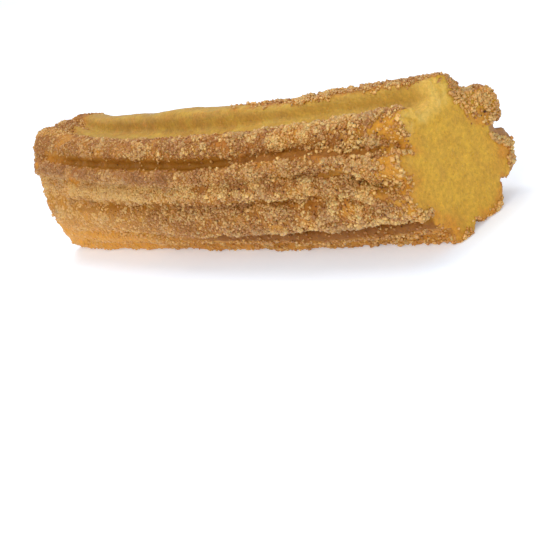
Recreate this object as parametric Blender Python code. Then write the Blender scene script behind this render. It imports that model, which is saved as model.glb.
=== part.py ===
"""A cut length of churro: one solid of fried dough with eleven uneven piped ridges, one of them sunken.

The origin is at the middle of the underside, +X runs along the length to the clean cut end, and +Z is up.
The churro lies on two neighbouring ridges, which its own weight has pressed flat.
"""

import math

import bmesh
import bpy
from mathutils import Vector

MM = 0.001

# Driving dimensions.
LENGTH = 126 * MM  # along the centre line, from cut to cut
BEND_RADIUS = 650 * MM  # the centre line is a flat arc, bowed towards -Y
TWIST = math.radians(12)  # how far the section turns over the whole length
SWAY = math.radians(-8)  # how far both ends lean back from that even twist
SWELL = 0.05  # the share by which the blunt end is thicker than the clean end
AXIS_HEIGHT = 12.6 * MM  # centre line above the surface that the churro lies on
AXIS_DROP = 0.5 * MM  # how much lower the centre line is at the clean end than at the blunt end

# How each end's rim is rounded: (how far in from the cut it starts, how far the rim draws in).
CLEAN_RIM = (0.9 * MM, 0.5 * MM)
BLUNT_RIM = (3.0 * MM, 1.8 * MM)

# One row for each piped ridge, in order round the section half way along.
# Each is: crest angle, crest radius, squareness before and after the crest, angle and radius of the crease after it.
# Angles are in degrees from +Y towards +Z, and radii in mm.
RIDGES = {
    "far_side": (19, 14.5, 3.2, 1.3, 52, 11.2),
    "back": (86, 14.1, 1.8, 4.0, 95, 10.6),
    "sunken": (104, 10.9, 2.0, 2.0, 113, 11.2),
    "shoulder": (131, 15.3, 2.2, 2.6, 143, 10.6),
    "upper_front": (151, 15.4, 2.4, 2.4, 160, 12.6),
    "front": (169, 14.5, 2.0, 2.0, 178, 12.0),
    "lower_front": (194, 14.6, 2.6, 3.0, 211, 11.6),
    "belly": (221, 13.7, 2.4, 2.4, 232, 12.4),
    "left_foot": (246, 14.7, 2.6, 2.6, 263, 11.2),
    "right_foot": (290, 13.6, 3.0, 3.0, 312, 10.8),
    "under_far_side": (336, 14.5, 2.8, 2.8, 363, 9.4),
}
FLANK = 0.75  # under 1, the ridges bulge over steep, narrow creases

# Some ridges drift to other rows along the churro.
# Each drift is: where it starts, where it is complete, and the rows drifted to.
DRIFTS = (
    (14 * MM, 32 * MM, {
        "shoulder": (131, 15.3, 2.2, 2.4, 141, 10.4),
        "upper_front": (149, 15.4, 2.4, 2.4, 157, 12.2),
        "front": (167, 14.5, 2.0, 2.0, 176, 12.0),
        "lower_front": (193, 14.6, 2.6, 3.2, 210, 11.2),
    }),
    (45 * MM, 59 * MM, {
        "upper_front": (157, 15.3, 2.4, 2.4, 175, 10.8),
        "front": (181, 14.8, 2.4, 2.4, 190, 14.5),
        "lower_front": (194, 14.4, 2.4, 2.6, 208, 11.2),
        "belly": (216, 13.6, 2.4, 2.4, 234, 12.4),
    }),
    (-20 * MM, -56 * MM, {
        "shoulder": (131, 15.3, 2.2, 2.4, 145, 11.2),
        "upper_front": (153, 15.2, 2.4, 2.4, 160, 13.2),
        "front": (169, 13.6, 2.0, 2.0, 178, 12.2),
        "lower_front": (197, 13.7, 2.6, 2.6, 221, 12.8),
        "belly": (227, 14.4, 2.4, 2.4, 236, 14.0),
        "left_foot": (249, 15.2, 2.6, 2.6, 268, 11.2),
    }),
)

# The sunken ridge comes back up to the others near the blunt end.
SUNKEN = "sunken"
RISE_STARTS = -43 * MM
RISE_ENDS = -60 * MM
RISEN_RADIUS = 14.8 * MM

# The blunt end is uneven, with one dent and two places that stick out.
# Each is: (angle it is centred on, how far it reaches to each side, how far the rim is set back there).
DENTS = (
    (math.radians(184), math.radians(64), 4.8 * MM),
    (math.radians(121), math.radians(35), -2.3 * MM),
    (math.radians(246), math.radians(40), -1.8 * MM),
)
DENT_REACH = 18 * MM

# The creases close up over the last stretch before the blunt end.
CLOSING_STARTS = -42 * MM
CLOSED_SHARE = 0.8

# Slow waves in the height of each crest, from dough that leaves the nozzle unevenly: (height, length of the wave).
WAVES = ((0.28 * MM, 61 * MM), (0.16 * MM, 23 * MM))

STEPS_PER_RIDGE = 9
BODY_RINGS = 27
RIM_RINGS = 4
CAP_SHARES = (0.8, 0.5, 0.2)  # sizes of the rings of points across each cut face

CRUST_COLOUR = (0.50, 0.23, 0.06, 1.0)
CRUST_ROUGHNESS = 0.7


def clear_scene():
    for obj in list(bpy.data.objects):
        bpy.data.objects.remove(obj)


def smooth_step(share):
    share = min(max(share, 0.0), 1.0)
    return share * share * (3 - 2 * share)


def crest_wave(index, along):
    """How far a ridge's crest stands above its mean height at this place along the churro."""
    return sum(
        height * math.sin(2 * math.pi * along / length + (2.4 + order) * index + order)
        for order, (height, length) in enumerate(WAVES)
    )


def ridge_row(name, along):
    """The ridge's row at this place, in mm and degrees."""
    row = RIDGES[name]
    for start, stop, rows in DRIFTS:
        share = smooth_step((along - start) / (stop - start))
        row = [here + (there - here) * share for here, there in zip(row, rows.get(name, row))]
    return row


def crest_radius(name, along):
    radius = ridge_row(name, along)[1] * MM
    if name == SUNKEN:
        risen = smooth_step((along - RISE_STARTS) / (RISE_ENDS - RISE_STARTS))
        radius += (RISEN_RADIUS - radius) * risen
    return radius + crest_wave(list(RIDGES).index(name), along)


def section(along):
    """(angle, radius) of the points round the section, ridge by ridge, each ridge starting in the crease before it."""
    rows = {name: ridge_row(name, along) for name in RIDGES}
    closed = CLOSED_SHARE * smooth_step((along - CLOSING_STARTS) / (-LENGTH / 2 - CLOSING_STARTS))
    previous = list(rows)[-1]
    points = []
    for name, (crest, _, square_before, square_after, after, after_radius) in rows.items():
        *_, before, before_radius = rows[previous]
        previous = name
        if before > crest:
            before -= 360
        top = crest_radius(name, along)
        for step in range(STEPS_PER_RIDGE):
            side = 2 * step / STEPS_PER_RIDGE - 1
            if side < 0:
                crease, foot, squareness = before, before_radius, square_before
            else:
                crease, foot, squareness = after, after_radius, square_after
            angle = crest + abs(side) * (crease - crest)
            height = (1 - abs(side) ** squareness) ** FLANK
            foot = foot * MM + (top - foot * MM) * closed
            points.append((math.radians(angle), foot + (top - foot) * height))
    return points


def rim_inset(depth, rim):
    """How far the rim has drawn in at this depth from the cut, along a quarter of an ellipse."""
    reach, inset = rim
    if depth >= reach:
        return 0.0
    return inset * (1 - math.sqrt(1 - (1 - depth / reach) ** 2))


def dent_depth(angle, along):
    """How far a rim point of the blunt end is set back, fading out along the churro."""
    fade = smooth_step(1 - (along + LENGTH / 2) / DENT_REACH)
    offs = [(min(abs(angle - centre) / half_width, 1.0), depth) for centre, half_width, depth in DENTS]
    return sum(depth * math.cos(off * math.pi / 2) ** 2 for off, depth in offs) * fade


def place(along, angle, radius):
    """The point at this place along the bent centre line, and at this angle and radius across it."""
    share = along / LENGTH
    angle += TWIST * share + SWAY * (2 * share) ** 2
    turn = along / BEND_RADIUS
    reach = BEND_RADIUS - radius * math.cos(angle)
    height = AXIS_HEIGHT - AXIS_DROP * share + radius * math.sin(angle)
    return Vector((reach * math.sin(turn), BEND_RADIUS - reach * math.cos(turn), max(height, 0.0)))


def outline(along):
    """(angle, radius, setback) of the points round one cross-section."""
    scale = 1 - SWELL * along / LENGTH
    inset = rim_inset(LENGTH / 2 - along, CLEAN_RIM) + rim_inset(LENGTH / 2 + along, BLUNT_RIM)
    return [(angle, radius * scale - inset, dent_depth(angle, along)) for angle, radius in section(along)]


def ring(along, share=1.0):
    """One ring of points: the outline, or inside a cut face a smaller copy of it."""
    return [
        place(along + setback * share ** 2, angle, radius * share)
        for angle, radius, setback in outline(along)
    ]


def stations():
    """Places along the centre line: evenly spaced on the body, and closer together round each rim."""
    half = LENGTH / 2
    clean_reach, blunt_reach = CLEAN_RIM[0], BLUNT_RIM[0]
    quarter = [math.pi / 2 * step / RIM_RINGS for step in range(RIM_RINGS)]
    blunt = [-half + blunt_reach * (1 - math.cos(angle)) for angle in quarter]
    clean = [half - clean_reach * (1 - math.cos(angle)) for angle in reversed(quarter)]
    first, last = -half + blunt_reach, half - clean_reach
    body = [first + (last - first) * step / (BODY_RINGS - 1) for step in range(BODY_RINGS)]
    return blunt + body + clean


def bridge(bm, near, far):
    for i in range(len(near)):
        j = (i + 1) % len(near)
        bm.faces.new((near[i], near[j], far[j], far[i]))


def close_end(bm, rim, along):
    """Cover a cut face with smaller and smaller rings, and a fan at the middle."""
    outer = rim
    for share in CAP_SHARES:
        inner = [bm.verts.new(point) for point in ring(along, share)]
        bridge(bm, outer, inner)
        outer = inner
    middle = bm.verts.new(place(along, 0.0, 0.0))
    for i in range(len(outer)):
        bm.faces.new((outer[i], outer[(i + 1) % len(outer)], middle))


def move_origin_to_base_centre(bm):
    shift = Vector((0, 0, 0))
    for axis in (0, 1):
        places = [vert.co[axis] for vert in bm.verts]
        shift[axis] = -(min(places) + max(places)) / 2
    bmesh.ops.translate(bm, verts=bm.verts, vec=shift)


def churro_mesh():
    mesh = bpy.data.meshes.new("churro")
    bm = bmesh.new()
    places = stations()
    rings = [[bm.verts.new(point) for point in ring(along)] for along in places]
    for near, far in zip(rings, rings[1:]):
        bridge(bm, near, far)
    close_end(bm, rings[0], places[0])
    close_end(bm, rings[-1], places[-1])
    bmesh.ops.recalc_face_normals(bm, faces=bm.faces)
    move_origin_to_base_centre(bm)
    bm.to_mesh(mesh)
    bm.free()
    return mesh


def crust_material():
    material = bpy.data.materials.new("fried_crust")
    material.use_nodes = True
    shader = material.node_tree.nodes["Principled BSDF"]
    shader.inputs["Base Color"].default_value = CRUST_COLOUR
    shader.inputs["Roughness"].default_value = CRUST_ROUGHNESS
    shader.inputs["Metallic"].default_value = 0.0
    return material


def main():
    clear_scene()
    mesh = churro_mesh()
    mesh.shade_smooth()
    mesh.materials.append(crust_material())
    churro = bpy.data.objects.new("churro", mesh)
    bpy.context.scene.collection.objects.link(churro)


main()
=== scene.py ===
# %% [markdown]
# # A piece of churro
# A churro is fried dough. It is squeezed through a star-shaped nozzle, which gives it ridges, then cut,
# fried and rolled in cinnamon sugar. The solid model already has the eleven ridges, the slight bend,
# the two cut ends and the sunken ridge along the top. This lesson adds what a solid can't hold: the
# lumpy crust, the pale crumb of the cuts, the creases with painted shade in them, and the grains of
# sugar and cinnamon, each one a small piece of mesh.

# %% Load the solid model
import math

import bpy
import numpy as np
from mathutils import Matrix, Vector, noise
from mathutils.kdtree import KDTree


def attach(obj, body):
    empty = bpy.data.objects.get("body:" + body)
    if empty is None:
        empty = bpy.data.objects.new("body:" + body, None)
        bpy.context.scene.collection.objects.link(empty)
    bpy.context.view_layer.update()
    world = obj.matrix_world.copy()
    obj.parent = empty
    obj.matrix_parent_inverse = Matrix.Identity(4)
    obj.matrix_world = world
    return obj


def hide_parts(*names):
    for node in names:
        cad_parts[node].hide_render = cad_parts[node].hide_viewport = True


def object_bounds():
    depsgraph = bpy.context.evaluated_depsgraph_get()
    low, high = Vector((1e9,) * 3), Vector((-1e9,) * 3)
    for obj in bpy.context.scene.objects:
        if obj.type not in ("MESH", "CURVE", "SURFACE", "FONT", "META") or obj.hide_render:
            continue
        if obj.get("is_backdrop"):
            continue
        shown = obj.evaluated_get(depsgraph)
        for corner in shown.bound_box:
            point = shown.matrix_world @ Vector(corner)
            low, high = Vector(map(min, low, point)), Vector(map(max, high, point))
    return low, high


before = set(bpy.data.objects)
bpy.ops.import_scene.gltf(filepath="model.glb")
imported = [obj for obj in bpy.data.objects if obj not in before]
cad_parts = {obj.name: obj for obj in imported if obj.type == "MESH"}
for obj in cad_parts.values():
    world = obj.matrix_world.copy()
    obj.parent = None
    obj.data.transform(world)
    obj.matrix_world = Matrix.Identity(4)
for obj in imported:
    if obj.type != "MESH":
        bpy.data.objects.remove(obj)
cad_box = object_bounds()
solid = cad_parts["churro"]
print("solid:", len(solid.data.polygons), "faces, box", [tuple(corner) for corner in cad_box])

# %% [markdown]
# ## The camera
# The camera comes first, because everything else is judged through it. It stands about 27 cm from
# the churro with a long lens, as for a close-up of food, so the far end looks clearly smaller than the
# clean cut. It is rolled, so that the churro climbs to the right. The churro could be tilted instead,
# but then it would leave the place where the solid lies, and its weight and outline would no longer be
# the measured ones.

# %% Camera
CAMERA_PLACE = Vector((0.2607, -0.1562, 0.0885))
CAMERA_AIM = Vector((0.0396, -0.0254, 0.0054))
CAMERA_ROLL = math.radians(-25.8)
CAMERA_LENS_MM = 104.7

lens = bpy.data.cameras.new("camera")
lens.lens = CAMERA_LENS_MM
lens.sensor_width = 36
lens.clip_start = 0.01
camera = bpy.data.objects.new("camera", lens)
bpy.context.scene.collection.objects.link(camera)
facing = (CAMERA_AIM - CAMERA_PLACE).to_track_quat("-Z", "Y").to_matrix().to_4x4()
camera.matrix_world = Matrix.Translation(CAMERA_PLACE) @ facing @ Matrix.Rotation(CAMERA_ROLL, 4, "Z")
bpy.context.scene.camera = camera
print("camera is", round((CAMERA_AIM - CAMERA_PLACE).length * 1000), "mm from what it looks at")

# %% [markdown]
# ## Colours and nodes
# Colours are written as they are read off a screen, in sRGB hex, but a shader reckons in linear light,
# so one function turns the first into the second. Materials are built from nodes in code. Clicking them
# together in the editor would do as well, but a script can be read, changed and run again.


# %% Helpers for materials
def linear(hex_colour):
    """sRGB hex such as '#c89b46' to the linear colour that a shader takes."""
    shares = [int(hex_colour[start:start + 2], 16) / 255 for start in (1, 3, 5)]
    light = [part / 12.92 if part <= 0.04045 else ((part + 0.055) / 1.055) ** 2.4 for part in shares]
    return light + [1.0]


def add_node(tree, kind, settings=None, inputs=None):
    """A new node with its settings, and with each input set to a value or linked to an output.

    Inputs go by name, but on Math and Mix nodes by number. A Mix node's 0 is the share, its 2 and 3 are
    numbers, and its 6 and 7 are colours.
    """
    node = tree.nodes.new(kind)
    for name, value in (settings or {}).items():
        setattr(node, name, value)
    for name, value in (inputs or {}).items():
        if isinstance(value, bpy.types.NodeSocket):
            tree.links.new(value, node.inputs[name])
        else:
            node.inputs[name].default_value = value
    return node


def new_material(name):
    """An empty material: the material itself, its node tree and its Principled shader."""
    material = bpy.data.materials.new(name)
    material.use_nodes = True
    return material, material.node_tree, material.node_tree.nodes["Principled BSDF"]


print("mid grey #808080 is", round(linear("#808080")[0], 3), "in linear light")

# %% [markdown]
# ## The floor
# Food is often shown on a sheet of white acrylic lit from behind, which leaves a clean white ground and
# only a soft shadow. A plain white plane would turn grey under soft lamps. Here the sheet has a weak
# glow of its own, which keeps it near white and still lets the churro's shadow show.

# %% Floor
FLOOR_SIZE = 6.0
FLOOR_DROP = 0.0001  # below the churro, so that the two never fight for the same place
ACRYLIC_SHADE = "#ebf2fa"
ACRYLIC_LIGHT = "#eff6fe"
ACRYLIC_GLOW = "#eef6ff"

# White acrylic: smooth underneath a matt face, so it gives the eye an even white with no reflection.
# Its clouds are 2.5 mm wide and so faint that they only break up the flatness.
floor_material, tree, shader = new_material("lit_white_acrylic")
clouds = add_node(tree, "ShaderNodeTexNoise", inputs={"Scale": 400.0, "Detail": 2.0})
shade = add_node(
    tree,
    "ShaderNodeMix",
    {"data_type": "RGBA"},
    {0: clouds.outputs["Fac"], 6: linear(ACRYLIC_SHADE), 7: linear(ACRYLIC_LIGHT)},
)
tree.links.new(shade.outputs[2], shader.inputs["Base Color"])
shader.inputs["Roughness"].default_value = 0.9
shader.inputs["Specular IOR Level"].default_value = 0.1
shader.inputs["Emission Color"].default_value = linear(ACRYLIC_GLOW)
shader.inputs["Emission Strength"].default_value = 0.3

half = FLOOR_SIZE / 2
floor_mesh = bpy.data.meshes.new("floor")
corners = [(-half, -half, 0), (half, -half, 0), (half, half, 0), (-half, half, 0)]
floor_mesh.from_pydata(corners, [], [(0, 1, 2, 3)])
floor_mesh.materials.append(floor_material)
floor = bpy.data.objects.new("floor", floor_mesh)
floor.location.z = -FLOOR_DROP
bpy.context.scene.collection.objects.link(floor)
floor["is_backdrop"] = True
print("floor is", FLOOR_SIZE, "m square")

# %% [markdown]
# ## The light
# Sugar needs soft light: each grain then has one bright side and one dim side, and no black shadow. A
# sun or a spot would be easier to set up, but its hard shadows would turn the crust to pepper. Two area
# lamps do it, a big one in front as the window and a smaller one above, under an evenly bright sky.


# %% Lamps and sky
def add_lamp(name, place, size, power, colour):
    """A square area lamp that faces the middle of the churro."""
    data = bpy.data.lights.new(name, "AREA")
    data.size = size
    data.energy = power
    data.color = linear(colour)[:3]
    lamp = bpy.data.objects.new(name, data)
    lamp.location = place
    lamp.rotation_euler = Vector(place).to_track_quat("Z", "Y").to_euler()
    bpy.context.scene.collection.objects.link(lamp)


add_lamp("key", (0.62, -0.85, 0.62), 1.0, 6.6, "#fffaf2")
add_lamp("top", (-0.2, 0.15, 1.0), 0.5, 3.8, "#ffffff")

world = bpy.data.worlds.new("studio")
world.use_nodes = True
sky = world.node_tree.nodes["Background"]
sky.inputs["Color"].default_value = linear("#f6f8ff")
sky.inputs["Strength"].default_value = 0.62
bpy.context.scene.world = world
bpy.context.scene.view_settings.view_transform = "Standard"
bpy.context.scene.view_settings.look = "None"
print("lamps:", len(bpy.data.lights))

# %% [markdown]
# ## Finding a place on the churro
# The churro is bent and slightly twisted, so one ridge isn't a straight strip in X, Y and Z. Its places
# could be painted by hand on a UV map, but then every change would be made with the mouse. Instead, the
# same few sizes that shaped the solid turn any point back into three plain numbers: how far along the
# churro it is, its angle round the section as the nozzle piped it, and its distance from the centre
# line.

# %% Places on the churro
MM = 0.001
LENGTH = 126 * MM
HALF = LENGTH / MM / 2  # half the length in mm, as along is measured in mm from the middle
BEND_RADIUS = 650 * MM
AXIS_MIDDLE = Vector((0.67 * MM, -1.37 * MM, 12.6 * MM))  # on the centre line, half way along
AXIS_DROP = 0.5 * MM
TWIST = 12.0  # degrees over the whole length
SWAY = -8.0  # degrees by which both ends lean back from that even twist


def on_churro(points):
    """How far along (mm), angle as piped (degrees) and distance from the centre line (mm) of each point."""
    x = points[:, 0] - AXIS_MIDDLE.x
    y = points[:, 1] - AXIS_MIDDLE.y
    along = np.arctan2(x, BEND_RADIUS - y) * BEND_RADIUS
    across = BEND_RADIUS - np.hypot(x, BEND_RADIUS - y)
    share = along / LENGTH
    up = points[:, 2] - AXIS_MIDDLE.z + AXIS_DROP * share
    angle = np.degrees(np.arctan2(up, across)) - TWIST * share - SWAY * (2 * share) ** 2
    return along / MM, angle % 360, np.hypot(across, up) / MM


def outward(points):
    """The direction away from the centre line at each point."""
    x = points[:, 0] - AXIS_MIDDLE.x
    y = BEND_RADIUS - points[:, 1] + AXIS_MIDDLE.y
    reach = np.hypot(x, y)
    up = points[:, 2] - AXIS_MIDDLE.z
    across = BEND_RADIUS - reach
    arrows = np.stack([-x / reach * across, y / reach * across, up], axis=1)
    return arrows / np.maximum(np.linalg.norm(arrows, axis=1), MM)[:, None]


top_of_middle = on_churro(np.array([[0.0, AXIS_MIDDLE.y, 20 * MM]]))
print("a point 20 mm up is at", [round(float(part[0]), 1) for part in top_of_middle])

# %% [markdown]
# ## Soft masks
# A mask is one number for each point, from 0 to 1, that says how much of something is there. Nothing on
# food has a ruled edge, so each mask is made from two soft steps, and its edge is frayed by smooth
# noise. Hard tests such as "angle over 90" would be shorter, but they leave edges like tape.


# %% Ramps and lumps
def ramp(values, start, stop):
    """0 before start, 1 past stop, and smooth between them. start may be the larger."""
    share = np.clip((values - start) / (stop - start), 0, 1)
    return share * share * (3 - 2 * share)


def between(values, low, high, soft):
    """1 from low to high and 0 outside, with soft edges."""
    return ramp(values, low - soft, low + soft) * ramp(values, high + soft, high - soft)


def lumps(points, size_mm, seed, octaves=2):
    """Smooth noise from about -1 to 1, with lumps of about this size."""
    shift = Vector((seed * 7.1, seed * 3.3, seed * 5.7))
    scale = 1 / (size_mm * MM)
    return np.array([noise.fractal(Vector(p) * scale + shift, 1.0, 2.0, octaves) for p in points])


print("a ramp from 0 to 4, at 1, 2 and 3:", ramp(np.array([1.0, 2.0, 3.0]), 0, 4).round(2))

# %% [markdown]
# ## The skin of the dough
# Fried dough is never as smooth as the solid: the crust blisters and wrinkles by a few tenths of a
# millimetre. The solid's long faces can't carry that. Subdividing them would leave the cuts coarse and
# the ridges too fine, so a voxel remesh lays one even net of small faces over everything, and a little
# smoothing takes off the steps that voxels leave.

# %% A fine skin over the solid
# as fine as a skin of under 200,000 triangles can be
VOXEL = 0.435 * MM  # about 0.4 mm, which gives a skin of just under 200,000 triangles


def skin_over(source, name):
    """A new object with an even mesh over the source."""
    piece = bpy.data.objects.new(name, source.data.copy())
    bpy.context.scene.collection.objects.link(piece)
    remesh = piece.modifiers.new("remesh", "REMESH")
    remesh.mode = "VOXEL"
    remesh.voxel_size = VOXEL
    soften = piece.modifiers.new("soften", "SMOOTH")
    soften.factor = 0.5
    soften.iterations = 2
    graph = bpy.context.evaluated_depsgraph_get()
    mesh = bpy.data.meshes.new_from_object(piece.evaluated_get(graph))
    piece.modifiers.clear()
    piece.data = mesh
    mesh.name = name
    return piece


def vectors(items, attribute):
    """A mesh's places or normals as rows of three numbers."""
    found = np.empty(len(items) * 3, np.float32)
    items.foreach_get(attribute, found)
    return found.reshape(-1, 3).astype(float)


dough = skin_over(solid, "churro_dough")
dough.data.materials.clear()
points = vectors(dough.data.vertices, "co")
normals = vectors(dough.data.vertex_normals, "vector")
along, angle, radius = on_churro(points)
print("dough:", len(points), "points,", 2 * len(dough.data.polygons), "triangles")

# %% [markdown]
# ## The ridges by name
# Sugar, oil and heat reach each ridge differently, so most masks speak of one ridge. Their ranges of
# angle are named once here, in order round the section, and one short function turns a name into a
# mask. Many other ranges, such as one edge of a cut, are used only once, and stay where they are used.

# %% Ridges by name
RIDGES = {
    "back": (62, 98),  # behind the groove
    "shoulder": (126, 140),  # in front of the groove
    "upper_front": (146, 158),
    "front": (158, 174),
    "lower_front": (176, 205),
    "belly": (205, 226),
    "left_foot": (222, 262),
    "right_foot": (262, 310),
}


def ridge(name, soft):
    """1 on this ridge and 0 off it. soft is half the width of its edges, in degrees."""
    return between(angle, *RIDGES[name], soft)


ragged = lumps(points, 2.2, 1)  # the noise that frays the edges of the masks
for name in RIDGES:
    print(name, int((ridge(name, 3) > 0.5).sum()), "points")

# %% [markdown]
# ## The cuts
# The clean cut was made after frying and shows the crumb. The blunt cut was made before frying, so it
# is rounded and dented. A cut could be picked by its height along the churro alone, but then the rim
# would count as crumb too, so the way a point faces is asked as well. How far each point of a cut lies
# from the crust is found with a k-d tree, because the rim is where crust, oil and stray sugar creep
# over the crumb.

# %% Cuts
turn = along * MM / BEND_RADIUS
facing_end = normals[:, 0] * np.cos(turn) + normals[:, 1] * np.sin(turn)
clean_cut = ramp(facing_end, 0.55, 0.85) * ramp(along, HALF - 2.2, HALF - 1.2)
blunt_cut = ramp(-facing_end, 0.6, 0.9) * ramp(along, -HALF + 8.0, -HALF + 5.0)
crumb = np.maximum(clean_cut, blunt_cut)

CRUST_BELOW = 0.3  # a point with less crumb than this counts as crust
crust_points = KDTree(len(points))
for index in np.flatnonzero(crumb < CRUST_BELOW):
    crust_points.insert(points[index], index)
crust_points.balance()
depth_in = np.zeros(len(points))
for index in np.flatnonzero(crumb >= CRUST_BELOW):
    depth_in[index] = crust_points.find(points[index])[2] / MM
print("cuts:", int((crumb > 0.5).sum()), "points, up to", round(depth_in.max(), 1), "mm from the crust")

# %% [markdown]
# ## The bare groove
# The sunken ridge never touched the sugar, and neither did the wall beside it, so both show plain
# dough. The wall's upper edge is set by height, so that the sugar stops at the same level all along.
# Towards the blunt end the groove opens out, and its floor narrows and closes.

# %% Bare groove
far = ramp(along, -34, -58)
opening = ramp(along, 22, -12)
wall_top = 13.9 + 2.4 * opening
wall = between(angle, 87 - 23 * opening, 98.5, 1.5)
wall *= ramp(radius + 0.6 * ragged + 1.6 * far * ramp(angle, 88, 92), wall_top, wall_top - 0.7)
groove_floor = between(angle + 1.2 * ragged, 92.5 + 9 * far, 117.5 - 6 * far, 1.5)
bare = np.maximum(wall, groove_floor) * ramp(along + 2 * ragged, -57, -51)
print("bare points:", int((bare > 0.5).sum()))

# %% [markdown]
# ## The creases
# Where two ridges meet, the dough is pressed together and catches less sugar. The creases are also
# painted a darker brown, as painted shade in the hollows. Every low place could be called a crease by
# its distance from the centre line, and the first mask does so. But the deep ones run on where they are
# shallow, so those follow lines of their own.

# %% Creases
rough_radius = radius + 0.3 * ragged
low_places = ramp(rough_radius, 12.6, 11.4) * ramp(points[:, 2], 0.0, 0.6 * MM)

# The deepest crease, under the shoulder, and the wider band beside it that the sugar missed.
# Towards the clean cut both get narrower, from below at first and then from above.
narrowing = ramp(along, 15, 30)
upper_narrowing = 2.5 * ramp(along, 35, 50)
gap = between(along, 17, 23, 2)  # here the two ridges touch
shoulder_crease = between(angle + 1.5 * ragged, 138 + upper_narrowing, 147.5 - 2.5 * narrowing, 0.8)
shoulder_crease *= between(along, -56, 60, 2) * (1 - 0.7 * gap)
band = between(angle + 1.6 * ragged, 138.5 + upper_narrowing, 146.5 - narrowing, 1.5)
band *= between(along, -56, 60, 2) * (1 - 0.4 * gap)

# A shallow crease along the front, one over the belly near the clean cut, and a slit at the rim.
front_line = 172 + 12 * ramp(along, 5, -50) + 8 * ramp(along, 22, 44)
front_crease = between(angle + 2 * ragged - front_line, -1, 5, 1.5) * between(along, -50, 40, 8)
belly_crease = between(angle + 1.5 * ragged, 207, 220, 2) * ramp(along, -20, 10)
slit = between(angle + ragged, 156.5, 161, 1) * between(along, 43, 51, 1)

# The crease mask thins the sugar, and its colour is painted shade in the creases.
crease = np.max([low_places, shoulder_crease, 0.8 * front_crease, belly_crease, slit], axis=0)
crease *= (1 - bare) * (1 - crumb) * (1 - 0.6 * ramp(along, -40, -54))
print("crease points:", int((crease > 0.5).sum()))

# %% [markdown]
# ## Relief
# The crust has swellings about 6 mm wide with wrinkles about 2 mm wide on them, and sugar cakes on it
# in heaps. The crumb and the groove are much smoother. Displacement in the material would draw all
# this, but it isn't part of the mesh, so the grains would float or drown. Moving the points themselves
# keeps both together.

# %% Relief
broad = lumps(points, 6.0, 2)
small = lumps(points, 1.8, 3)
fine = lumps(points, 0.9, 31)
crust_relief = 0.22 * broad + 0.17 * small - 0.15
bare_relief = 0.12 * broad + 0.05 * small + 0.03 * fine
crumb_relief = 0.12 * broad + 0.06 * small + 0.04 * fine
relief = crust_relief * (1 - bare) * (1 - crumb) + bare_relief * bare + crumb_relief * crumb

# The rim of the clean cut is torn, and the crumb at its top is flaky.
torn_rim = ramp(along, HALF - 2.5, HALF - 0.8) * ramp(radius, 11, 12.5)
relief += 0.3 * ragged * torn_rim
flaky = crumb * ramp(radius * np.sin(np.radians(angle)), 8.0, 10.0)
relief += 0.25 * lumps(points, 1.3, 5) * flaky

# Heaps of caked sugar, higher near the clean cut.
near = ramp(along, 0, 50)
clumps = ramp(lumps(points * (0.8, 1, 1), 2.8, 6), 0.05, 0.3)
sugared_crust = (1 - bare) * (1 - crumb) * (1 - shoulder_crease) * (1 - crease)
relief += 0.3 * clumps * (0.25 + 0.75 * near) * sugared_crust
print("relief from", round(relief.min(), 2), "to", round(relief.max(), 2), "mm")

# %% [markdown]
# ## Three corrections to the shape
# Near the clean cut the crease under the shoulder is shallower than the solid's and bends down, and the
# ridge on the far side has a squarer corner. Fill and corner move points straight out from the centre
# line, and the bend slides them round it. Moving them along their normals would push the two walls of
# the crease into each other.


# %% Crease fill, corner and bend
def round_the_section(points, away):
    """The direction in which the angle grows at each point, from the outward direction there."""
    x = points[:, 0] - AXIS_MIDDLE.x
    y = BEND_RADIUS - points[:, 1] + AXIS_MIDDLE.y
    ahead = np.stack([y, x, 0 * x], axis=1) / np.hypot(x, y)[:, None]
    return np.cross(ahead, away)


fill = 1.5 * between(angle, 139, 145, 2.5) * ramp(along, 15, 30) * ramp(along, 63, 57)
fill = np.maximum(fill, 0.8 * slit)
corner = 0.8 * between(angle, 22, 31, 5) - 0.6 * between(angle, 37, 49, 4)
fill += corner * ramp(along, 45, 58)
# The bend dies out towards the centre line, so that the crumb of the cut isn't pulled round with it.
bend = 1.1 * ramp(angle, 130, 143) * ramp(angle, 158, 145) * ramp(along, 41, 54) * ramp(radius, 4, 11)
away = outward(points)
moved = points + normals * (relief * MM)[:, None] + away * (fill * MM)[:, None]
moved += round_the_section(points, away) * (bend * MM)[:, None]
moved[:, 2] = np.maximum(moved[:, 2], 0.0)
dough.data.vertices.foreach_set("co", moved.astype(np.float32).ravel())
dough.data.update()
print("most filled", round(fill.max(), 2), "mm, most bent", round(bend.max(), 2), "mm")

# %% [markdown]
# ## Where sugar sticks
# Sugar sticks to oily crust. It lies thick on the ridges, thin in the creases and near the floor, and
# it is rubbed off here and there. The cover could be one even number with noise on it, but the real one
# tells how the churro was rolled and held, so it starts at full and each line below takes something
# off.

# %% Sugar on the ridges
RUBBED_OFF = (
    # how far along (mm), angle (degrees), half length (mm), half width (degrees)
    (17, 129, 3, 2.5),
    (9, 162, 3.5, 3),
    (-40, 160, 4, 3),
)

patches = lumps(points * (0.6, 1, 1), 4.0, 4)
cover = 1 - 0.6 * ramp(patches, 0.08, 0.35)
cover *= 1 - 0.75 * crease
cover *= 1 - 0.5 * np.maximum(front_crease, belly_crease)

# Next to none in the slit and in the band under the shoulder, with a little more near the clean cut.
cover *= 1 - np.maximum(0.95 - 0.1 * near, 0.95 * slit) * np.maximum(band, slit)

# The back ridge is nearly bare along its far half, and thin elsewhere. The groove is quite bare.
cover *= 1 - 0.95 * ridge("back", 3) * ramp(along, 42, 8) * ramp(along, -56, -49)
cover *= 1 - 0.45 * ridge("back", 3)
cover *= 1 - ramp(bare, 0.2, 0.7)

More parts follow.
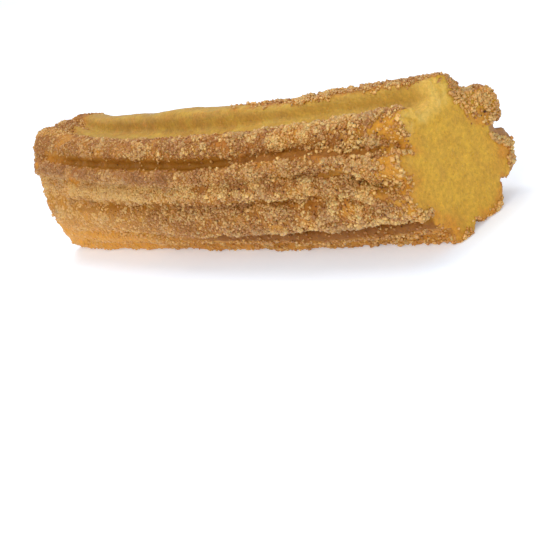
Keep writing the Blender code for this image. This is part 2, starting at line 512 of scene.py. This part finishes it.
# Thin on what touched the floor, on the low side towards the blunt end, and on the left foot.
cover *= 1 - 0.6 * ramp(points[:, 2], 0.9 * MM, 0.1 * MM)
low_far = ramp(angle, 180, 215) * ramp(angle, 300, 280) * ramp(along, 25, -40)
cover *= 1 - 0.45 * low_far
cover *= 1 - 0.6 * between(angle, 218, 262, 4)
cover *= 1 - 0.3 * ridge("belly", 4) * ramp(along, -15, 5)

# Thin along both rims.
cover *= 1 - 0.6 * ramp(along + 2 * ragged, -53, -59) * between(angle, 150, 300, 5)
near_rim = ramp(along + 2 * ragged, 56.5, 60.5) * between(angle, 122, 212, 5)
cover *= 1 - 0.15 * near_rim * ramp(patches, -0.1, 0.1)

for spot_along, spot_angle, spot_length, spot_width in RUBBED_OFF:
    off = np.hypot((along - spot_along) / spot_length, (angle - spot_angle) / spot_width)
    cover *= 1 - 0.9 * ramp(off + 0.3 * ragged, 1.3, 0.7)
print("mean cover of the ridges", round(float(cover[crumb < 0.5].mean()), 2))

# %% [markdown]
# ## Sugar on the cuts
# The clean cut is mostly bare crumb, but one side of it was pressed into the sugar: the end of the
# ridge on the far side is covered, and so are the outer parts of the ridges below it. The border is a
# straight line across the cut, so it is written in two plain directions, across and up, rather than in
# angles.

# %% Sugar on the cuts
cut_across = radius * np.cos(np.radians(angle)) + 0.5 * ragged
cut_up = radius * np.sin(np.radians(angle)) + 0.5 * ragged
edge = radius + 0.7 * ragged

# The end of the far side ridge, above a line that slopes down to the right, and a thin fringe under it.
above_line = cut_up - 5.2 + 0.41 * (cut_across - 6)
fringe = between(above_line, -2.6, 0, 0.5) * ramp(cut_across, 4.5, 6.5)
dipped = ramp(above_line, -0.4, 0.6) * ramp(cut_across, 2.8, 5.6)
dipped *= 1 - 0.8 * between(angle, 2, 22, 3) * ramp(edge, 12.4, 13.0)

# The outer edge of the ridge under it, and a strip below its shaded top.
shade_line = cut_up + 0.3 + 0.8 * (cut_across - 9.3)
small_lobe = np.maximum(ramp(angle, 338, 342), ramp(angle, 8, 5)) * ramp(radius, 8.6, 9.2)
right_rim = between(angle, 326, 347, 2) * ramp(edge, 11.9, 12.6)
right_rim = np.maximum(right_rim, small_lobe * between(shade_line, -1.5, -0.1, 0.3))
dipped = np.max([dipped, right_rim, 0.25 * fringe], axis=0)
dipped = np.maximum(dipped, 0.7 * between(angle, 268, 306, 4) * ramp(edge, 11.0, 12.4))

# Stray grains along the rest of the rim.
rim = ramp(depth_in + 0.9 * ragged, 1.6, 0.4) * (1 - between(angle, 84, 128, 3))
rim *= 1 - between(angle, 344, 359, 2)
left_rim = between(angle, 126, 206, 4)
cut_cover = np.maximum(dipped, rim * np.maximum(0.4 * left_rim, 0.5 * ramp(ragged, -0.1, 0.3)))

# Two places at the rim get painted shade: smooth brown with no sugar, for the shaded flank of the ridge
# behind the cut.
top_shade = small_lobe * ramp(shade_line, -0.2, 0.3)
low_shade = ramp(edge, 12.2, 12.8) * between(angle, 314, 329, 2)
shaded_rim = np.maximum(clean_cut, ramp(along + ragged, 59.5, 61.5)) * np.maximum(top_shade, low_shade)
cover *= 1 - shaded_rim
cut_cover *= 1 - shaded_rim

blunt_cover = np.clip(0.25 + 0.5 * patches, 0, 0.8)
cover = cover * (1 - crumb) + cut_cover * clean_cut + blunt_cover * blunt_cut
cover = np.clip(cover, 0, 1)
print("mean sugar cover", round(float(cover.mean()), 2))

# %% [markdown]
# ## The golden and the brown
# Crust browns where it is thin and stays golden where it lay in fresh oil, and the cinnamon isn't
# spread evenly either. Two masks hold that, one for golden crust and one for places with much cinnamon.
# One noise for each would give patches with no cause, so each ridge has its own share, and the noise
# only varies it.

# %% Golden and spiced places
mottle = lumps(points * (0.7, 1, 1), 4.0, 8)
golden = np.max([
    low_far,
    0.55 * ramp(mottle, 0.05, 0.4),
    0.7 * shoulder_crease * ramp(along, -40, -52),
    0.45 * ridge("front", 4) * ramp(along, 20, -10),
    0.65 * between(angle, 158, 204, 5) * ramp(along, -5, -35),
    0.5 * ridge("left_foot", 4),
    0.7 * ridge("belly", 4) * between(along, -15, 22, 8),
    0.15 * ridge("back", 4),
    # the blunt end's rim and the clean end's rim
    0.8 * ramp(along + 2 * ragged, -52, -60) * ramp(angle, 145, 155),
    0.4 * ramp(along + ragged, 58, 62) * between(angle, 135, 350, 5),
    # under the sugar on the clean cut
    0.9 * clean_cut * ramp(above_line, -0.4, 0.6),
    clean_cut * ridge("right_foot", 4),
], axis=0)
golden_crust = np.maximum(golden, near_rim * (0.2 + 0.5 * ramp(small + mottle, -0.4, 0.5)))

spiced = np.max([
    ridge("upper_front", 3) * ramp(along, 25, 5),
    0.6 * ridge("shoulder", 3) * ramp(along, -5, -25),
    0.7 * ridge("belly", 4) * ramp(along, -5, 20),
    0.5 * ridge("lower_front", 4) * between(along, -15, 30, 10),
], axis=0)
spiced *= np.clip(0.8 + 0.9 * broad, 0.2, 1)
spiced = np.maximum(spiced, 0.6 * ramp(mottle, -0.05, -0.4) * (1 - low_far))
spiced *= 1 - 0.7 * ridge("left_foot", 4)
spiced = np.maximum(spiced, 0.4 * ridge("upper_front", 3) * ramp(along, 5, 20) * (1 - crumb))
spiced *= 1 - clean_cut * dipped * ramp(cut_across, 5, 8)
spiced = np.maximum(spiced, 0.7 * clean_cut * between(angle, 60, 86, 3) * ramp(radius, 9, 10))
print("golden", round(float(golden.mean()), 2), "spiced", round(float(spiced.mean()), 2), "on average")

# %% [markdown]
# ## Where crust and crumb meet
# The knife dragged some crumb over the rim, so for a millimetre or three the ridges show crumb too.
# From the other side, oil has soaked in from the crust, and turned the outermost crumb orange. A sharp
# border would be the easy way, and it would look like two materials glued together.

# %% Rim of the clean cut
scraped_from = 59.5 - 2.6 * np.maximum(between(angle, 124, 138, 3), between(angle, 148, 170, 3))
scraped = ramp(along + 2.2 * ragged - scraped_from, 0, 1.5) * between(angle, 124, 210, 4)
cover *= 1 - 0.6 * scraped * (1 - clean_cut)
thin_patch = ramp(along + 2 * ragged, 48, 56) * between(angle, 122, 212, 5) * ramp(patches, 0.05, 0.3)
thin_patch *= np.clip(0.6 + 0.8 * small + 0.6 * fine, 0, 1)
crumb_shown = np.max([crumb, scraped, 0.55 * thin_patch], axis=0)

# The orange rim is wider behind each ridge than behind a crease.
rim_width = 0.7 + 2.2 * np.max([
    between(angle, 140, 200, 6),
    1.9 * between(angle, 140, 148, 3),
    1.9 * between(angle, 174, 182, 3),
    between(angle, 212, 246, 6),
    between(angle, 266, 304, 6),
    between(angle, 328, 352, 6),
], axis=0)
crust_rim = np.max([
    ramp((depth_in + 1.1 * ragged) / rim_width, 1.0, 0.2),
    fringe,
    between(angle, 331, 348, 2) * ramp(edge, 9.2, 10.0),
    0.4 * clean_cut * ramp(depth_in, 4.5, 1.0) * between(angle, 130, 250, 8),
    0.35 * clean_cut * ramp(radius, 5, 10) * ramp(angle, 300, 330),
    0.7 * scraped * (1 - clean_cut) * ramp(mottle, 0.15, -0.25),
], axis=0)
crust_rim *= crumb_shown * (1 - between(angle, 84, 124, 3))
print("points with an orange rim:", int((crust_rim > 0.5).sum()))

# %% [markdown]
# ## Painted light, dull places and painted shade
# Four small masks finish the plain dough. The top of the cut and the end of the groove get a painted
# highlight where their rim catches the light, and the groove's wall is painted lighter. The wall of the
# groove has a haze of sugar dust, with a film of it in streaks. The groove is darker and duller along its
# front edge, and painted darker towards the blunt end as painted shade. The two deepest creases are
# painted darkest, as painted shade.

# %% Painted light, dull places and painted shade
haze = wall * ramp(along, 42, 5) * (1 - crumb)
sugar_film = 0.5 * haze * ramp(lumps(points * (0.7, 1, 1), 1.8, 21, 3), 0.0, 0.5)
lit_cut_top = clean_cut * ramp(cut_up, 7.0, 9.5) * ramp(cut_across, 4.2, 2.0)
# Painted light: a painted highlight on the top of the cut and on the end of the groove, and a lighter wall.
painted_light = np.max([
    lit_cut_top * np.clip(0.5 + 0.9 * small + 0.7 * fine, 0, 1),
    0.25 * bare * wall * ramp(along, -10, 30) * (1 - crumb),
    0.8 * bare * ramp(along, 57, 62) * ramp(radius, 8.0, 9.5),
], axis=0)
# Darker, duller groove: towards the blunt end the darkening is painted shade; along the front edge and in
# patches on the wall it is a duller colour.
dull_and_shade = bare * np.maximum(0.3 * ramp(along, -5, -50), 0.8 * ramp(angle, 103, 112))
dull_and_shade = np.maximum(dull_and_shade, 0.5 * haze * ramp(lumps(points * (0.5, 1, 1), 4.0, 22, 3), 0.0, 0.35))
# Painted shade: the two deepest creases are painted darkest.
deep_crease_shade = np.maximum(0.9 * belly_crease, 0.75 * shoulder_crease * between(along, 19, 57, 5))
deep_crease_shade *= 1 - crumb_shown
for name, values in (("painted_light", painted_light), ("dull_and_shade", dull_and_shade), ("dark", deep_crease_shade)):
    print(name, int((values > 0.4).sum()), "points")

# %% [markdown]
# ## Keeping the masks on the mesh
# The material has to read the masks. They could be painted into an image over a UV map, which blurs
# them and needs a seam. A mesh attribute holds one number for each point and needs neither.


# %% Keep the masks
def keep(mesh, name, values):
    """Stores one number for each point, for the material to read."""
    layer = mesh.attributes.new(name, "FLOAT", "POINT")
    layer.data.foreach_set("value", values.astype(np.float32))


dough_masks = {
    "crumb": crumb_shown,
    "bare": bare,
    "crease": crease,
    "sugared": cover,
    "golden": golden_crust,
    "crust_rim": crust_rim,
    "painted_light": painted_light,
    "spiced": spiced,
    "dull_and_shade": dull_and_shade,
    "shaded_rim": shaded_rim,
    "sugar_film": sugar_film,
    "deep_crease_shade": deep_crease_shade,
}
for name, values in dough_masks.items():
    keep(dough.data, name, values)
print("masks kept:", ", ".join(dough_masks))

# %% [markdown]
# ## Fried dough, the material
# Flour, water and a little fat, fried in oil. Its crust is golden brown with a low oily shine, and its
# inside is yellow, moist and dense. Light goes about a millimetre into it and comes out again, which
# takes the hardness off every edge, so the shader has some subsurface scattering. One material covers
# crust, groove and crumb, since they are one stuff and blend into each other. Three materials would
# need borders between them.

# %% Colours of fried dough
CRUMB_YELLOW = "#d6a736"
CRUMB_DEEP = "#be8f30"
# painted light: highlight at the top of the cut and the groove's end, and the lighter groove wall
PAINTED_LIGHT_YELLOW = "#dcb65a"
BARE_LIGHT = "#caa446"
BARE_DARK = "#b88a3c"
# a darker, duller groove colour, painted shade towards the blunt end
DULL_AND_SHADE_OLIVE = "#aa823e"
CRUST_DARK = "#a05e1e"
CRUST_LIGHT = "#b6742c"
CRUST_GOLD = "#da9836"
# The two crease colours are painted shade.
CREASE_SHADE_BROWN = "#a36b1f"
DEEP_CREASE_SHADE = "#8a5212"
RIM_ORANGE = "#c88a2e"
DUST_PALE = "#c89244"
DUST_BROWN = "#9c6424"
SPICE_BROWN = "#8f5e2e"
# painted shade at two places on the rim
SHADED_BROWN = "#a2764a"

fried_dough, tree, shader = new_material("fried_dough")
place = add_node(tree, "ShaderNodeTexCoord").outputs["Object"]
masks = {
    name: add_node(tree, "ShaderNodeAttribute", {"attribute_name": name}).outputs["Fac"]
    for name in dough_masks
}


def coats(tree, base, layers):
    """The colour that is left when each layer in turn is laid over the base by its mask."""
    colour = linear(base) if isinstance(base, str) else base
    for mask, over in layers:
        over = linear(over) if isinstance(over, str) else over
        mix = add_node(tree, "ShaderNodeMix", {"data_type": "RGBA"}, {0: mask, 6: colour, 7: over})
        colour = mix.outputs[2]
    return colour


print("masks that the material reads:", len(masks))

# %% [markdown]
# ## Patterns in the dough
# Real dough is never one colour. Each pattern below is noise whose scale is a real size in millimetres,
# and its middle range is stretched, so that it runs all the way from one colour to the other. One
# painted image could hold all of them at once, but it couldn't follow the ridges, and it would blur
# when seen from close by.

# %% Patterns
PATTERNS = {
    # name: size in mm, detail, roughness, and the range of the noise that is stretched
    "browning": (3.0, 3.0, 0.5, 0.35, 0.65),  # patches where the crust is darker
    "caked": (1.4, 2.0, 0.5, 0.35, 0.65),  # clots of fine sugar
    "streak": (2.4, 3.0, 0.5, 0.3, 0.7),  # drawn out along the churro, in the groove
    "fleck": (2.6, 6.0, 0.75, 0.3, 0.7),  # uneven crumb, with fine grains in it
    "grit": (0.7, 4.0, 0.8, 0.3, 0.7),  # real grit is 0.1 to 0.2 mm, too fine to show, so this is coarser
}

along_the_churro = add_node(tree, "ShaderNodeMapping", inputs={"Vector": place, "Scale": (0.5, 1.0, 1.0)})
noises = {}
patterns = {}
for name, (size_mm, detail, roughness, low, high) in PATTERNS.items():
    noises[name] = add_node(
        tree,
        "ShaderNodeTexNoise",
        inputs={
            "Vector": along_the_churro.outputs["Vector"] if name == "streak" else place,
            "Scale": 1 / (size_mm * MM),
            "Detail": detail,
            "Roughness": roughness,
        },
    ).outputs["Fac"]
    stretched = add_node(
        tree,
        "ShaderNodeMapRange",
        inputs={"Value": noises[name], "From Min": low, "From Max": high},
    )
    patterns[name] = stretched.outputs["Result"]
print("patterns:", ", ".join(f"{name} {row[0]} mm" for name, row in PATTERNS.items()))

# %% [markdown]
# ## Dust and pores
# Between the grains that will be meshes lies finer sugar, and the crumb has pores about a third of a
# millimetre wide. Both are cells, which a Voronoi pattern draws well. Real dust is under 0.1 mm, too
# fine to show, so its cells are drawn 0.42 mm wide. The same cells give the dust its colour and its
# bumps.

# %% Dust and pores
DUST_MM = 0.42
PORE_SPACING_MM = 0.77
PORE_DEPTH = 0.35  # as a share of the height of the dust

cells = add_node(tree, "ShaderNodeTexVoronoi", inputs={"Vector": place, "Scale": 1 / (DUST_MM * MM)})
cell_parts = add_node(tree, "ShaderNodeSeparateColor", inputs={"Color": cells.outputs["Color"]})
dust_share = add_node(
    tree,
    "ShaderNodeMix",
    {"data_type": "FLOAT"},
    {0: 0.35, 2: patterns["caked"], 3: cell_parts.outputs["Red"]},
).outputs[0]
pores = add_node(
    tree,
    "ShaderNodeTexVoronoi",
    inputs={"Vector": place, "Scale": 1 / (PORE_SPACING_MM * MM)},
)
pore_deep = add_node(
    tree,
    "ShaderNodeMapRange",
    inputs={"Value": pores.outputs["Distance"], "From Min": 0.32, "From Max": 0.12},
).outputs["Result"]
print("dust cells", DUST_MM, "mm, pores", PORE_SPACING_MM, "mm apart")

# %% [markdown]
# ## Laying the colours
# The colours are laid in order: first the crust and its browning, then the dust of sugar and cinnamon,
# then the painted shade of the creases, and over them the places that show plain dough and crumb, and
# last the painted shade at two places on the rim. It could be one long formula, but a list of coats can
# be read from the top, and a coat can be taken out to see what it does.

# %% Coats of colour
GRIT_DARK = 0.76  # how far grit darkens and lightens what it lies on
GRIT_LIGHT = 1.24

golden_dust = add_node(
    tree,
    "ShaderNodeMath",
    {"operation": "MULTIPLY"},
    {0: masks["golden"], 1: 0.6},
).outputs[0]
crust = coats(tree, CRUST_DARK, [
    (patterns["browning"], CRUST_LIGHT),
    (masks["golden"], CRUST_GOLD),
])
dust = coats(tree, DUST_BROWN, [
    (dust_share, DUST_PALE),
    (masks["spiced"], SPICE_BROWN),
    (golden_dust, CRUST_GOLD),
])
groove = coats(tree, BARE_LIGHT, [
    (patterns["streak"], BARE_DARK),
    (masks["dull_and_shade"], DULL_AND_SHADE_OLIVE),
    # painted light on the groove
    (masks["painted_light"], PAINTED_LIGHT_YELLOW),
    (masks["sugar_film"], DUST_PALE),
])
inside = coats(tree, CRUMB_YELLOW, [
    (patterns["fleck"], CRUMB_DEEP),
    # painted highlight at the top of the cut
    (masks["painted_light"], PAINTED_LIGHT_YELLOW),
    (masks["crust_rim"], RIM_ORANGE),
])
shown = coats(tree, crust, [
    (masks["sugared"], dust),
    # the two crease coats are painted shade
    (masks["crease"], CREASE_SHADE_BROWN),
    (masks["deep_crease_shade"], DEEP_CREASE_SHADE),
    (masks["bare"], groove),
    (masks["crumb"], inside),
    # painted shade at the rim
    (masks["shaded_rim"], SHADED_BROWN),
])
grit_value = add_node(
    tree,
    "ShaderNodeMix",
    {"data_type": "FLOAT"},
    {0: patterns["grit"], 2: GRIT_DARK, 3: GRIT_LIGHT},
).outputs[0]
gritty = add_node(tree, "ShaderNodeHueSaturation", inputs={"Value": grit_value, "Color": shown})
tree.links.new(gritty.outputs["Color"], shader.inputs["Base Color"])
print("colour nodes:", sum(node.bl_idname == "ShaderNodeMix" for node in tree.nodes))

# %% [markdown]
# ## The surface of the dough
# Oil on the crust gives a broad, low shine, a little stronger on the darker patches. Wet starch and oil
# have an index of refraction of about 1.45. The bumps of dust and pores are a quarter of a millimetre
# high at most. They are bumps in the light only: as mesh they would need ten times the faces.

# %% Surface
dust_bump = add_node(
    tree,
    "ShaderNodeMath",
    {"operation": "MULTIPLY"},
    {0: cells.outputs["Distance"], 1: masks["sugared"]},
).outputs[0]
pore_bump = add_node(
    tree,
    "ShaderNodeMath",
    {"operation": "MULTIPLY"},
    {0: pore_deep, 1: -PORE_DEPTH},
).outputs[0]
height = add_node(
    tree,
    "ShaderNodeMath",
    {"operation": "SUBTRACT"},
    {0: pore_bump, 1: dust_bump},
).outputs[0]
bump = add_node(
    tree,
    "ShaderNodeBump",
    inputs={"Height": height, "Distance": 0.25 * MM, "Strength": 0.8},
)
tree.links.new(bump.outputs["Normal"], shader.inputs["Normal"])
oily = add_node(
    tree,
    "ShaderNodeMapRange",
    inputs={"Value": noises["browning"], "To Min": 0.42, "To Max": 0.62},
)
tree.links.new(oily.outputs["Result"], shader.inputs["Roughness"])
shader.inputs["IOR"].default_value = 1.45
shader.inputs["Specular IOR Level"].default_value = 0.2
shader.inputs["Subsurface Weight"].default_value = 0.35
shader.inputs["Subsurface Radius"].default_value = (1.0, 0.5, 0.15)
shader.inputs["Subsurface Scale"].default_value = 1.2 * MM
dough.data.materials.append(fried_dough)
dough.data.shade_smooth()
print("fried dough has", len(tree.nodes), "nodes")

# %% [markdown]
# ## Where a grain may land
# Grains are strewn by chance, but evenly by area, and thicker where the masks say so. Each triangle of
# the dough gets a chance: its area times the weight of its corners. Particles would do the strewing
# too, but they are lost when the churro is exported, and thousands of single objects would be slow.

# %% Strewing
dough.data.calc_loop_triangles()
triangles = np.empty(len(dough.data.loop_triangles) * 3, np.int32)
dough.data.loop_triangles.foreach_get("vertices", triangles)
triangles = triangles.reshape(-1, 3)
moved_normals = vectors(dough.data.vertex_normals, "vector")
edge_one = moved[triangles[:, 1]] - moved[triangles[:, 0]]
edge_two = moved[triangles[:, 2]] - moved[triangles[:, 0]]
areas = np.linalg.norm(np.cross(edge_one, edge_two), axis=1) / 2


def scatter(rng, count, weights):
    """Places and normals on the dough, drawn by area times weight, and the point next to each place."""
    chance = areas * weights[triangles].mean(axis=1)
    picked = rng.choice(len(triangles), count, p=chance / chance.sum())
    a, b = rng.random((2, count, 1))
    a, b = np.where(a + b > 1, 1 - a, a), np.where(a + b > 1, 1 - b, b)
    shares = np.concatenate([1 - a - b, a, b], axis=1)[:, :, None]
    found = (moved[triangles[picked]] * shares).sum(axis=1)
    up = (moved_normals[triangles[picked]] * shares).sum(axis=1)
    return found, up / np.linalg.norm(up, axis=1)[:, None], triangles[picked, 0]


print("dough surface", round(areas.sum() / MM**2), "mm2")

# %% [markdown]
# ## The shape of a grain
# Granulated sugar is blocky crystals about half a millimetre wide, broken and worn. Each grain is a
# cube with its corners pushed about, stretched and turned at random. Real crystals have more faces, but
# at this size twelve triangles already catch the light like one. All the grains of one kind are one
# mesh, made with arrays.

# %% Turned cubes
CORNERS = np.array([(x, y, z) for z in (-1, 1) for y in (-1, 1) for x in (-1, 1)], float) / 2
SIDES = np.array([(0, 2, 3, 1), (4, 5, 7, 6), (0, 1, 5, 4), (2, 6, 7, 3), (0, 4, 6, 2), (1, 3, 7, 5)])


def turns(rng, count):
    """Random rotations as 3 x 3 matrices."""
    quaternions = rng.normal(size=(count, 4))
    w, x, y, z = (quaternions / np.linalg.norm(quaternions, axis=1)[:, None]).T
    rows = [
        [1 - 2 * (y * y + z * z), 2 * (x * y - w * z), 2 * (x * z + w * y)],
        [2 * (x * y + w * z), 1 - 2 * (x * x + z * z), 2 * (y * z - w * x)],
        [2 * (x * z - w * y), 2 * (y * z + w * x), 1 - 2 * (x * x + y * y)],
    ]
    return np.array(rows).transpose(2, 0, 1)


def boxes(rng, sizes, squash=0.3, dent=0.14):
    """The corners of one worn, turned box for each size. squash and dent are shares of the size."""
    count = len(sizes)
    stretch = 1 + squash * rng.uniform(-1, 1, (count, 3))
    corners = CORNERS * sizes[:, :, None] * stretch[:, None, :]
    corners = corners + rng.uniform(-dent, dent, (count, 8, 3)) * sizes[:, :, None]
    return np.einsum("nij,nkj->nki", turns(rng, count), corners)


print("a grain has", len(CORNERS), "corners and", 2 * len(SIDES), "triangles")

# %% [markdown]
# ## One mesh of many grains
# All the grains of one kind become one mesh. For its colours to be baked later, each of them needs a
# place of its own in a UV map. An automatic unwrap would take minutes, so each grain gets a small
# square of the map by its number, and each of its six sides a sixth of that square.


# %% Grain maker
MAP_MARGIN = 0.04  # free strip round each grain's square in the UV map, as a share of the square
SIZE_RANGE = (0.45, 1.8)  # smallest and largest grain of a kind, as shares of its mean size


def mesh_of(name, spots):
    """A mesh of boxes, from eight corners for each."""
    count = len(spots)
    first = (np.arange(count) * len(CORNERS))[:, None, None]
    mesh = bpy.data.meshes.new(name)
    mesh.vertices.add(count * len(CORNERS))
    mesh.vertices.foreach_set("co", spots.astype(np.float32).ravel())
    mesh.loops.add(count * SIDES.size)
    mesh.loops.foreach_set("vertex_index", (first + SIDES).astype(np.int32).ravel())
    mesh.polygons.add(count * len(SIDES))
    mesh.polygons.foreach_set("loop_start", np.arange(0, count * SIDES.size, 4, dtype=np.int32))
    mesh.update(calc_edges=True)
    return mesh


def grain_map(mesh, count):
    """A UV map with a small square of its own for each grain, and a sixth of it for each side."""
    columns = math.ceil(math.sqrt(count))
    grain = np.arange(count)
    cell = np.stack([grain % columns, grain // columns], axis=1)[:, None, None, :]
    side = np.stack([np.arange(6) % 3 / 3, np.arange(6) // 3 / 2], axis=1)[None, :, None, :]
    corner = np.array([(0.1, 0.1), (0.9, 0.1), (0.9, 0.9), (0.1, 0.9)])[None, None, :, :]
    filled = 1 - 2 * MAP_MARGIN
    places = (cell + MAP_MARGIN + filled * (side + corner / np.array([3, 2]))) / columns
    layer = mesh.uv_layers.new(name="OFBake")
    layer.data.foreach_set("uv", np.broadcast_to(places, (count, 6, 4, 2)).astype(np.float32).ravel())


# Towards the blunt end the sugar was pressed in, so its grains lie lower and look more alike.
pressed = ramp(along, 10, -45)


def grains(name, count, size_mm, spread_mm, weights, seed, lift):
    """One piece of many grains. lift is how far their middles stand off the dough, in grain sizes."""
    rng = np.random.default_rng(seed)
    centres, up, nearest = scatter(rng, count, weights)
    smallest, largest = (size_mm * share for share in SIZE_RANGE)
    sizes = np.clip(rng.normal(size_mm, spread_mm, (count, 1)), smallest, largest)
    corners = boxes(rng, sizes)
    heights = sizes * (lift + 0.25 * rng.random((count, 1)) - 0.2 * pressed[nearest][:, None])
    spots = (centres + up * heights * MM)[:, None, :] + corners * MM
    spots[:, :, 2] = np.maximum(spots[:, :, 2], 0.0)
    mesh = mesh_of(name, spots)
    grain_map(mesh, count)
    tints = 0.5 + (rng.random(count) - 0.5) * (1 - 0.5 * pressed[nearest])
    keep(mesh, "tint", np.repeat(tints, len(CORNERS)))
    keep(mesh, "golden", np.repeat(0.6 * golden[nearest], len(CORNERS)))
    keep(mesh, "spiced", np.repeat(0.7 * spiced[nearest], len(CORNERS)))
    piece = bpy.data.objects.new(name, mesh)
    bpy.context.scene.collection.objects.link(piece)
    print(name, count, "grains,", count * 2 * len(SIDES), "triangles")
    return piece


print("pressed at the blunt end:", round(float(pressed[along < -60].mean()), 2))

# %% [markdown]
# ## Sugar and cinnamon, the materials
# Sucrose crystals are clear, with an index of refraction of about 1.54. Grains this small, scratched
# and coated with cinnamon, read as cloudy beige with a glint on each face. Real glass-clear grains
# would be true to the crystal, but slow to render and dark. So the base colour is plain, some light
# goes into the grain, and each grain has its own tint, between the palest and the darkest of its kind.

# %% Grain materials
GOLD_GRAIN = "#eeb05a"
SPICED_GRAIN = "#a06832"


def grain_material(name, palest, darkest, roughness, cloud_mm):
    """Cloudy grains whose colour runs from palest to darkest by grain, and a little within each grain."""
    material, tree, shader = new_material(name)
    place = add_node(tree, "ShaderNodeTexCoord").outputs["Object"]
    tint, glow, spice = (
        add_node(tree, "ShaderNodeAttribute", {"attribute_name": layer}).outputs["Fac"]
        for layer in ("tint", "golden", "spiced")
    )
    cloud = add_node(
        tree,
        "ShaderNodeTexNoise",
        inputs={"Vector": place, "Scale": 1 / (cloud_mm * MM), "Detail": 1.0},
    ).outputs["Fac"]
    share = add_node(tree, "ShaderNodeMix", {"data_type": "FLOAT"}, {0: 0.3, 2: tint, 3: cloud}).outputs[0]
    colour = coats(tree, palest, [(share, darkest), (glow, GOLD_GRAIN), (spice, SPICED_GRAIN)])
    tree.links.new(colour, shader.inputs["Base Color"])
    shader.inputs["Roughness"].default_value = roughness
    shader.inputs["IOR"].default_value = 1.54
    return material, shader


# Granulated sugar, boiled down and crystallised: pale, cloudy and nearly smooth, so it glows and glints.
# Its clouds are as wide as the widest grains, so one grain may be clearer at one end.
granulated_sugar, shader = grain_material("granulated_sugar", "#f5ca7c", "#a86824", 0.3, 0.6)
shader.inputs["Subsurface Weight"].default_value = 0.6
shader.inputs["Subsurface Radius"].default_value = (1.0, 0.8, 0.5)
shader.inputs["Subsurface Scale"].default_value = 0.4 * MM

# The same sugar under a coat of cinnamon: browner, duller, and less light gets in.
cinnamon_dusted_sugar, shader = grain_material("cinnamon_dusted_sugar", "#c88430", "#8a5216", 0.4, 0.5)
shader.inputs["Subsurface Weight"].default_value = 0.3
shader.inputs["Subsurface Radius"].default_value = (1.0, 0.6, 0.3)
shader.inputs["Subsurface Scale"].default_value = 0.3 * MM

# Ground cinnamon is dry milled bark: dark, matt specks that let no light in.
ground_cinnamon, _ = grain_material("ground_cinnamon", "#7a4420", "#3a1e0c", 0.8, 0.3)
print("grain materials:", granulated_sugar.name, cinnamon_dusted_sugar.name, ground_cinnamon.name)

# %% [markdown]
# ## Which grain goes where
# The big pale grains are what the eye sees first. They gather on the heaps, along the sharp edges and
# near the clean cut. The brown and fine ones lie wherever there is cover. One kind of grain in one size
# would be simpler, but it looks like sandpaper.

# %% Shares of each kind
softer = 1 - 0.35 * ramp(along, 5, -50)
bright_crest = between(angle, 158, 171, 3) * ramp(along, 25, 5)
pale_crest = between(angle, 62, 100, 4) * ramp(along, -10, 20) * (1 - clean_cut)
edges = between(angle, 198, 208, 3) * ramp(along, 15, 30)
edges += between(angle, 114, 128, 4) * between(along, 36, 60, 4)
edges += clean_cut * (2 * right_rim + 0.2 * dipped + rim * left_rim)

# The front ridges show more pale grains towards the blunt end.
far_light = between(angle, 156, 206, 5) * ramp(along, 5, -20)

coarse_share = cover * (0.04 + clumps + edges) * (0.35 + near + 0.5 * bright_crest)
pale_share = cover * (0.08 + clumps + bright_crest) * softer * (1 + 1.5 * pale_crest + 0.8 * far_light)
fine_pale_share = cover * (0.4 + near + 0.5 * bright_crest) * (1 + pale_crest)
dusted_share = cover * softer * (1 - 0.7 * pale_crest) * (1 - 0.4 * far_light)
fine_share = cover * (1 - 0.6 * pale_crest)
speck_share = 0.01 * (1 - crumb) * (1 - bare) + cover * (0.15 + near)
print("coarse grains are likeliest at", np.round(moved[coarse_share.argmax()] / MM), "mm")

# %% [markdown]
# ## Making the pieces
# Six kinds of grain make the coat. Table sugar runs from fine to coarse, so it comes in three sizes
# clean and in two under cinnamon. The specks are lifted most for their size, or the sugar would bury
# them. Each kind is one row, and one loop makes them all, so a seventh kind would be one more row.

# %% Sugar and cinnamon pieces
PIECES = (
    # name, how many, size and its spread in mm, where, random seed, lift, material, slot
    ("coarse_sugar", 5500, 0.46, 0.08, coarse_share, 11, 0.05, granulated_sugar, "sugar"),
    ("pale_sugar", 14000, 0.36, 0.07, pale_share, 12, 0.0, granulated_sugar, "sugar"),
    ("fine_pale_sugar", 14000, 0.27, 0.05, fine_pale_share, 16, 0.0, granulated_sugar, "sugar"),
    ("dusted_sugar", 14000, 0.36, 0.07, dusted_share, 13, -0.05, cinnamon_dusted_sugar, "sugar"),
    ("fine_sugar", 16000, 0.22, 0.05, fine_share, 14, 0.0, cinnamon_dusted_sugar, "sugar"),
    ("cinnamon_specks", 1500, 0.18, 0.05, speck_share, 15, 0.30, ground_cinnamon, "cinnamon"),
)
for name, count, size_mm, spread_mm, weights, seed, lift, material, slot in PIECES:
    piece = grains(name, count, size_mm, spread_mm, weights, seed, lift)
    piece.data.materials.append(material)
    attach(piece, "root")

# %% [markdown]
# ## Finish
# The dough stands in for the solid, and everything rides on the one body. The box round the dressed
# churro is written beside the solid's, to show that crust and grains add only fractions of a
# millimetre.

# %% Finish
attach(dough, "root")
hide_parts("churro")

new_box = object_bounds()
grown = [round((new_box[1][i] - new_box[0][i] - cad_box[1][i] + cad_box[0][i]) / MM, 2) for i in range(3)]
print("box grew by", grown, "mm")
